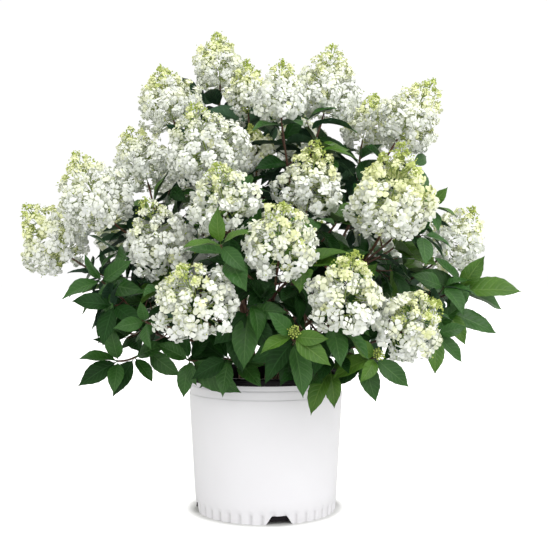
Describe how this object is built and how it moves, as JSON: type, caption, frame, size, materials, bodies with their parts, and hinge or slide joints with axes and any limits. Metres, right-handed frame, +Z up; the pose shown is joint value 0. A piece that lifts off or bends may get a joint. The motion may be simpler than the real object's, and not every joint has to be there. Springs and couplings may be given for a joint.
{
  "type": "potted hydrangea",
  "caption": "Bushy panicle hydrangea in full white bloom, growing in a tapered white nursery pot with a black rolled lip.",
  "frame": {"origin": "centre of the pot's flat underside, on the surface it stands on", "axes": "+Z up through the pot's axis; -Y towards the plant's front, as pictured; +X to the right seen from the front"},
  "size_m": [0.8172, 0.6661, 0.8375],
  "materials": {
    "pot": "white polyethylene, with a black lip and inside made in the scene",
    "mix": "dark bark-based potting mix",
    "bark": "rough tan-brown bark",
    "young_bark": "smooth red-brown bark",
    "foliage": "soft green leaves and shoots with white panicles"
  },
  "bodies": {
    "root": {"bough_back_left": "young_bark", "bough_back_middle": "young_bark", "bough_back_right": "young_bark", "bough_centre_left": "young_bark", "bough_centre_right": "young_bark", "bough_front_left": "young_bark", "bough_front_middle": "young_bark", "bough_front_right": "young_bark", "bough_high_back_left": "young_bark", "bough_high_back_right": "young_bark", "bough_left_back": "young_bark", "bough_left_edge": "young_bark", "bough_left_middle": "young_bark", "bough_left_skirt": "young_bark", "bough_left_upper": "young_bark", "bough_right_edge": "young_bark", "bough_right_front": "young_bark", "bough_right_low": "young_bark", "bough_right_skirt": "young_bark", "bough_rim_front": "young_bark", "bough_top_back": "young_bark", "bough_top_left": "young_bark", "bough_top_middle": "young_bark", "bough_top_right": "young_bark", "cane_1": "bark", "cane_2": "bark", "cane_3": "bark", "cane_4": "bark", "cane_5": "bark", "cane_6": "bark", "cane_7": "bark", "nursery_pot": "pot", "potting_mix": "mix", "spray_back_left": "foliage", "spray_back_middle": "foliage", "spray_back_right": "foliage", "spray_centre_left": "foliage", "spray_centre_right": "foliage", "spray_front_left": "foliage", "spray_front_middle": "foliage", "spray_front_right": "foliage", "spray_high_back_left": "foliage", "spray_high_back_right": "foliage", "spray_left_back": "foliage", "spray_left_edge": "foliage", "spray_left_middle": "foliage", "spray_left_skirt": "foliage", "spray_left_upper": "foliage", "spray_right_edge": "foliage", "spray_right_front": "foliage", "spray_right_low": "foliage", "spray_right_skirt": "foliage", "spray_rim_front": "foliage", "spray_top_back": "foliage", "spray_top_left": "foliage", "spray_top_middle": "foliage", "spray_top_right": "foliage"}
  },
  "joints": []
}
